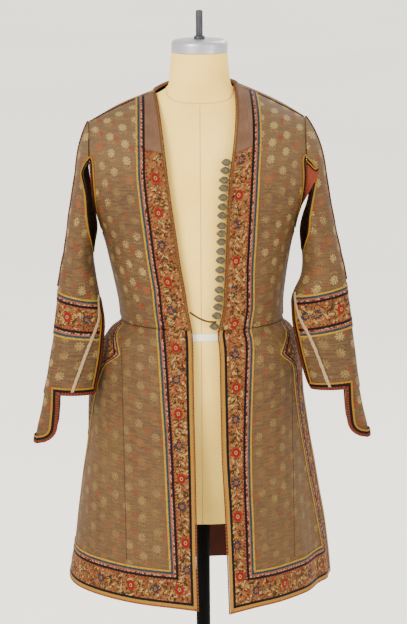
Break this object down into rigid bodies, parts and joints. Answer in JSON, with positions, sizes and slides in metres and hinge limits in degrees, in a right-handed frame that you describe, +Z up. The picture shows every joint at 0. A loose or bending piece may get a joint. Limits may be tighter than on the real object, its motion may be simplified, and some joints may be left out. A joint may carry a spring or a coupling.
{
  "type": "coat on dress form",
  "caption": "Long open-fronted brocade coat with floral borders, slit skirt and pointed cuffs, resting on a canvas half-body dress form with a pole and round base",
  "frame": {"origin": "on the floor at the middle of the stand's base, straight under the pole", "axes": "+Z up; the coat's open front faces -Y; the wearer's right is at -X"},
  "size_m": [0.6035, 0.4021, 1.4925],
  "materials": {
    "brocade": "figured silk",
    "floral_border": "embroidered",
    "plain_facing": "plain weave",
    "black_and_yellow_edging": "striped",
    "orange_piping": "corded",
    "cream_tape": "frayed ribbon",
    "knot_button": "wrapped metal thread",
    "loop_cord": "twisted",
    "form_canvas": "canvas over a stiff shell",
    "neck_cap_metal": "polished",
    "top_rod_metal": "dark",
    "waist_tape": "twill tape",
    "stand_enamel": "black enamel"
  },
  "bodies": {
    "root": {"back_neck_border": "floral_border", "bodice_back": "brocade", "bodice_front_left": "brocade", "bodice_front_right": "brocade", "button_01": "knot_button", "button_02": "knot_button", "button_03": "knot_button", "button_04": "knot_button", "button_05": "knot_button", "button_06": "knot_button", "button_07": "knot_button", "button_08": "knot_button", "button_09": "knot_button", "button_10": "knot_button", "button_11": "knot_button", "button_12": "knot_button", "button_13": "knot_button", "button_14": "knot_button", "button_15": "knot_button", "button_16": "knot_button", "button_17": "knot_button", "button_18": "knot_button", "button_19": "knot_button", "button_loop": "loop_cord", "cuff_edging_left": "black_and_yellow_edging", "cuff_edging_right": "black_and_yellow_edging", "form_neck_cap": "neck_cap_metal", "form_top_rod": "top_rod_metal", "form_torso": "form_canvas", "form_waist_tape": "waist_tape", "front_border_left": "floral_border", "front_border_right": "floral_border", "front_piping_left": "orange_piping", "front_piping_right": "orange_piping", "neck_facing_left": "plain_facing", "neck_facing_right": "plain_facing", "overarm_piping_left": "orange_piping", "overarm_piping_right": "orange_piping", "skirt_back": "brocade", "skirt_border_back": "floral_border", "skirt_border_left": "floral_border", "skirt_border_right": "floral_border", "skirt_front_left": "brocade", "skirt_front_right": "brocade", "sleeve_band_left": "floral_border", "sleeve_band_right": "floral_border", "sleeve_left": "brocade", "sleeve_right": "brocade", "sleeve_tape_left": "cream_tape", "sleeve_tape_right": "cream_tape", "stand_base": "stand_enamel", "stand_pole": "stand_enamel"}
  },
  "joints": []
}
